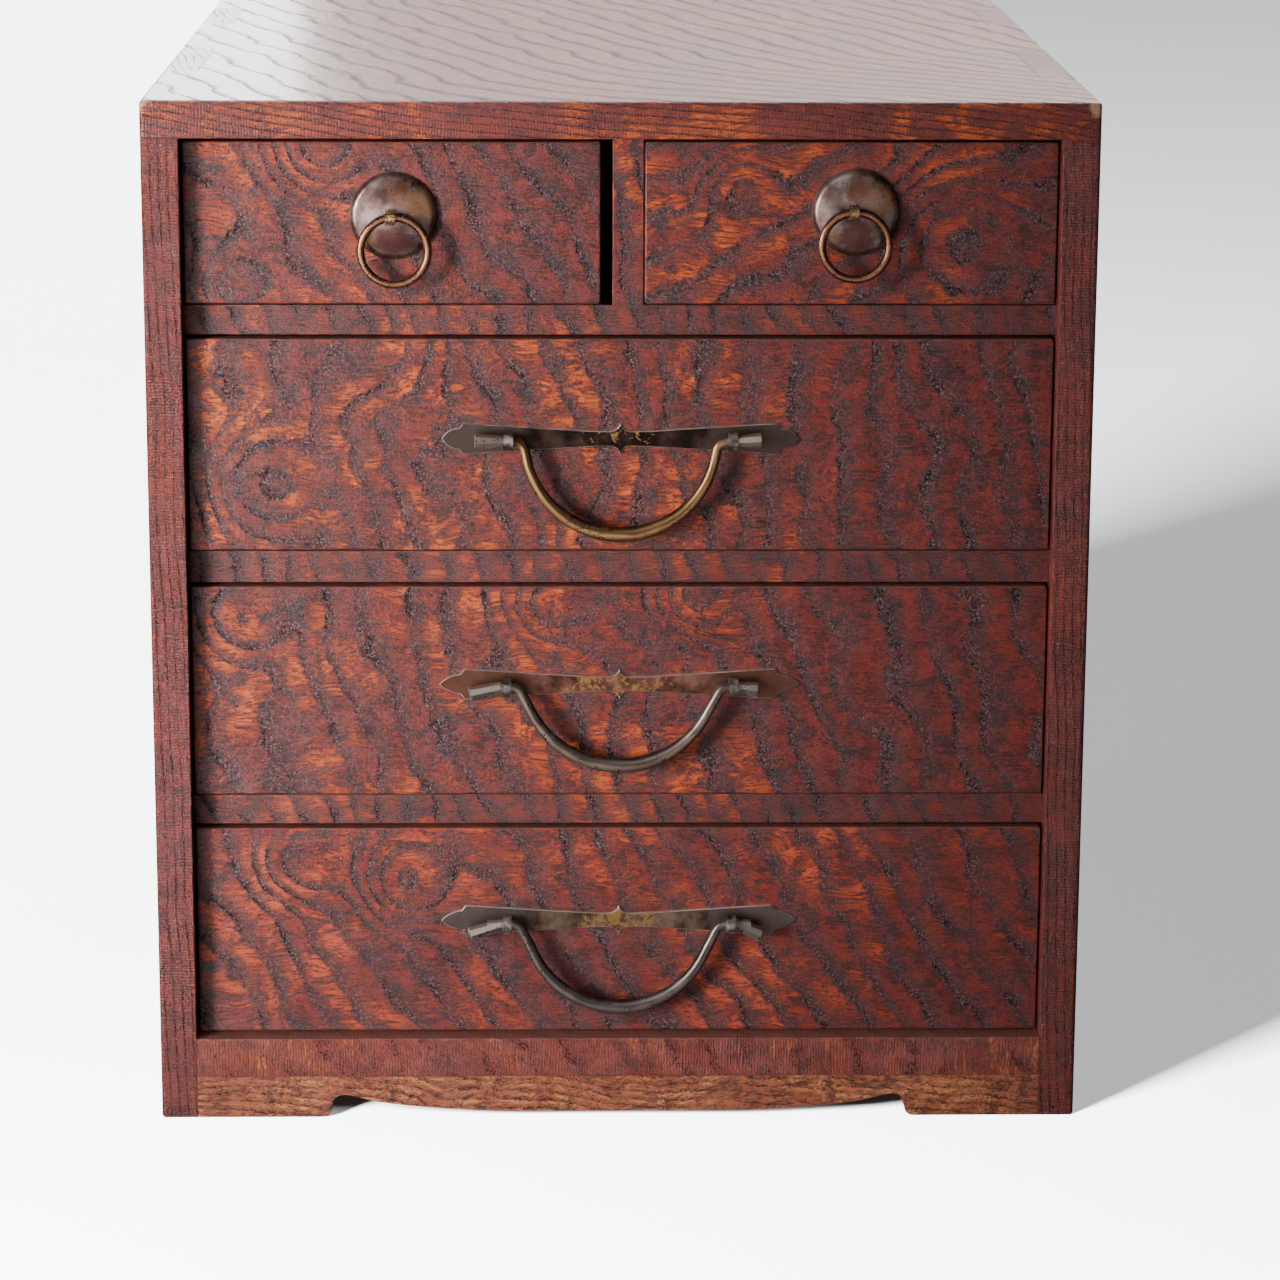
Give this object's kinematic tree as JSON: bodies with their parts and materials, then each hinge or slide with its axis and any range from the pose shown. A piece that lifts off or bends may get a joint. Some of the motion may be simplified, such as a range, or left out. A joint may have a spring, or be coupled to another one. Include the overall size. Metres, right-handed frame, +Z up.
{
  "type": "small tansu chest of drawers",
  "caption": "Low lacquered chest: wide drawers with bail handles under a divided top row with ring pulls, finger-jointed top and shaped apron.",
  "frame": {"origin": "on the floor, under the middle of the carcass; the handles stand 2.7 mm out beyond its front", "axes": "+X runs to the right across the front, +Y from the front to the back, +Z up"},
  "size_m": [0.364, 0.4578, 0.405],
  "materials": {
    "keyaki_case": "wiped red-brown lacquer over figured zelkova, worn at the edges",
    "keyaki_fronts": "glossy red-brown lacquer over strongly figured zelkova",
    "plain_inner_wood": "bare planed softwood, browned with age",
    "wooden_nails": "bare cut end grain",
    "handle_metal": "forged, dark patina rubbed golden where hands touch it",
    "pull_metal": "thin sheet and drawn wire with a grey-brown patina"
  },
  "bodies": {
    "carcass": {"top_board": "keyaki_case", "left_side": "keyaki_case", "right_side": "keyaki_case", "bottom_board": "keyaki_case", "back_boards": "plain_inner_wood", "front_apron": "keyaki_case", "lower_rail": "keyaki_case", "middle_rail": "keyaki_case", "upper_rail": "keyaki_case", "lower_shelf": "plain_inner_wood", "middle_shelf": "plain_inner_wood", "upper_shelf": "plain_inner_wood", "divider_stile": "keyaki_case", "divider_board": "plain_inner_wood", "carcass_nails": "wooden_nails"},
    "lower_drawer": {"lower_drawer_front": "keyaki_fronts", "lower_drawer_left_side": "plain_inner_wood", "lower_drawer_right_side": "plain_inner_wood", "lower_drawer_back": "plain_inner_wood", "lower_drawer_bottom": "plain_inner_wood", "lower_drawer_nails": "wooden_nails", "lower_handle_plate": "handle_metal", "lower_handle_eyes": "handle_metal"},
    "middle_drawer": {"middle_drawer_front": "keyaki_fronts", "middle_drawer_left_side": "plain_inner_wood", "middle_drawer_right_side": "plain_inner_wood", "middle_drawer_back": "plain_inner_wood", "middle_drawer_bottom": "plain_inner_wood", "middle_drawer_nails": "wooden_nails", "middle_handle_plate": "handle_metal", "middle_handle_eyes": "handle_metal"},
    "upper_drawer": {"upper_drawer_front": "keyaki_fronts", "upper_drawer_left_side": "plain_inner_wood", "upper_drawer_right_side": "plain_inner_wood", "upper_drawer_back": "plain_inner_wood", "upper_drawer_bottom": "plain_inner_wood", "upper_drawer_nails": "wooden_nails", "upper_handle_plate": "handle_metal", "upper_handle_eyes": "handle_metal"},
    "left_drawer": {"left_drawer_front": "keyaki_fronts", "left_drawer_left_side": "plain_inner_wood", "left_drawer_right_side": "plain_inner_wood", "left_drawer_back": "plain_inner_wood", "left_drawer_bottom": "plain_inner_wood", "left_drawer_nails": "wooden_nails", "left_pull_plate": "pull_metal", "left_pull_eye": "pull_metal"},
    "right_drawer": {"right_drawer_front": "keyaki_fronts", "right_drawer_left_side": "plain_inner_wood", "right_drawer_right_side": "plain_inner_wood", "right_drawer_back": "plain_inner_wood", "right_drawer_bottom": "plain_inner_wood", "right_drawer_nails": "wooden_nails", "right_pull_plate": "pull_metal", "right_pull_eye": "pull_metal"},
    "lower_bail": {"lower_handle_bail": "handle_metal"},
    "middle_bail": {"middle_handle_bail": "handle_metal"},
    "upper_bail": {"upper_handle_bail": "handle_metal"},
    "left_ring": {"left_pull_ring": "pull_metal"},
    "right_ring": {"right_pull_ring": "pull_metal"}
  },
  "joints": [
    {"name": "lower_drawer_slide", "type": "slide", "parent": "carcass", "child": "lower_drawer", "axis": [0, -1, 0], "range_m": [0, 0.36]},
    {"name": "middle_drawer_slide", "type": "slide", "parent": "carcass", "child": "middle_drawer", "axis": [0, -1, 0], "range_m": [0, 0.36]},
    {"name": "upper_drawer_slide", "type": "slide", "parent": "carcass", "child": "upper_drawer", "axis": [0, -1, 0], "range_m": [0, 0.36]},
    {"name": "left_drawer_slide", "type": "slide", "parent": "carcass", "child": "left_drawer", "axis": [0, -1, 0], "range_m": [0, 0.36]},
    {"name": "right_drawer_slide", "type": "slide", "parent": "carcass", "child": "right_drawer", "axis": [0, -1, 0], "range_m": [0, 0.36]},
    {"name": "lower_bail_swing", "type": "hinge", "parent": "lower_drawer", "child": "lower_bail", "pos_m": [0, -0.2265, 0.0797], "axis": [-1, 0, 0], "range_deg": [-5, 180]},
    {"name": "middle_bail_swing", "type": "hinge", "parent": "middle_drawer", "child": "middle_bail", "pos_m": [0, -0.2265, 0.1763], "axis": [-1, 0, 0], "range_deg": [-5, 180]},
    {"name": "upper_bail_swing", "type": "hinge", "parent": "upper_drawer", "child": "upper_bail", "pos_m": [0, -0.2265, 0.274], "axis": [-1, 0, 0], "range_deg": [-5, 180]},
    {"name": "left_ring_swing", "type": "hinge", "parent": "left_drawer", "child": "left_ring", "pos_m": [-0.08775, -0.2274, 0.3606], "axis": [-1, 0, 0], "range_deg": [-8, 180]},
    {"name": "right_ring_swing", "type": "hinge", "parent": "right_drawer", "child": "right_ring", "pos_m": [0.0885, -0.2274, 0.3628], "axis": [-1, 0, 0], "range_deg": [-8, 180]}
  ]
}
